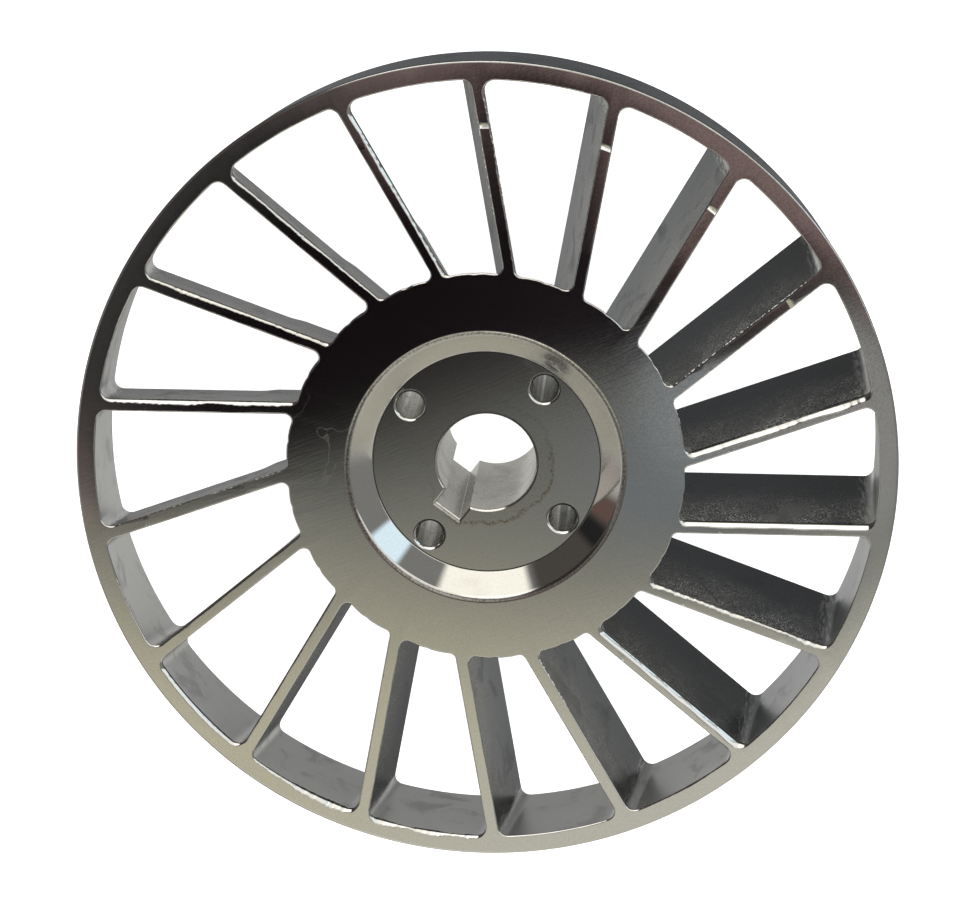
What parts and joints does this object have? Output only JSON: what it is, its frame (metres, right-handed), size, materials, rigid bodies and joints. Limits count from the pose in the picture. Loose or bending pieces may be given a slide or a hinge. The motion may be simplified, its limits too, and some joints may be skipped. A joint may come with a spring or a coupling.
{
  "type": "bladed pump impeller wheel",
  "caption": "Plated metal impeller: a dished hub with a keyed bore and bolt holes, straight pitched blades and a thin outer rim.",
  "frame": {"origin": "on the bore axis at the hub's back face, the lowest point of the wheel", "axes": "+Z along the bore axis out of the dished front; +X to the right and +Y up as the front is seen in the picture"},
  "size_m": [0.33, 0.33, 0.079],
  "materials": {
    "plated_metal": "bright plated, lightly brushed on the turned faces and satin inside the windows"
  },
  "bodies": {
    "root": {"hub": "plated_metal", "hub_boss": "plated_metal", "rim": "plated_metal", "blade_01": "plated_metal", "blade_02": "plated_metal", "blade_03": "plated_metal", "blade_04": "plated_metal", "blade_05": "plated_metal", "blade_06": "plated_metal", "blade_07": "plated_metal", "blade_08": "plated_metal", "blade_09": "plated_metal", "blade_10": "plated_metal", "blade_11": "plated_metal", "blade_12": "plated_metal", "blade_13": "plated_metal", "blade_14": "plated_metal", "blade_15": "plated_metal", "blade_16": "plated_metal", "blade_17": "plated_metal", "blade_18": "plated_metal"}
  },
  "joints": []
}
